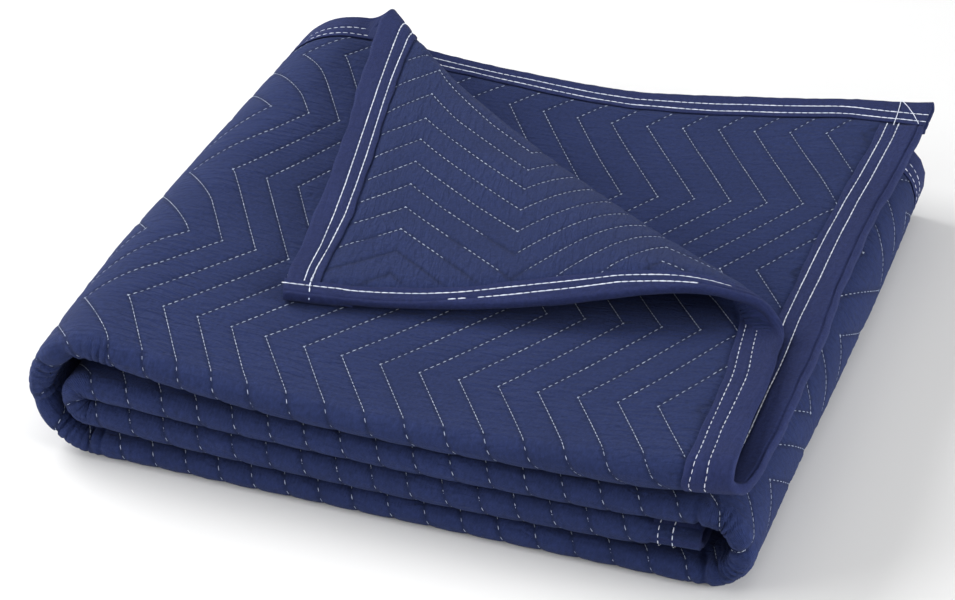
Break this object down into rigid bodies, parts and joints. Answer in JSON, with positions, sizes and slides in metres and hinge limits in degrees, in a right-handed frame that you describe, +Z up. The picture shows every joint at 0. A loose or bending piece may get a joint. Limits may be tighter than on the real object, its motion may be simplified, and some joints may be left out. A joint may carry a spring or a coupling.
{
  "type": "moving blanket",
  "caption": "Quilted moving blanket with bound edges, folded into a flat stack with one corner of its top layer turned back.",
  "frame": {"origin": "centre of the bounding box's bottom face, on the surface that the folded stack lies on", "axes": "+Z up; +X along the long folds, from the rolled side to the side where the bound short end lies; -Y towards the front folds"},
  "size_m": [0.4778, 0.4524, 0.1247],
  "materials": {
    "quilted_cloth": "matt woven cloth, quilted",
    "binding_tape": "matt woven tape",
    "thread": "pale stitching thread"
  },
  "bodies": {
    "root": {"quilt_cloth": "quilted_cloth", "binding_long_outer": "binding_tape", "binding_long_inner": "binding_tape", "binding_end_outer": "binding_tape", "binding_end_inner": "binding_tape"}
  },
  "joints": []
}
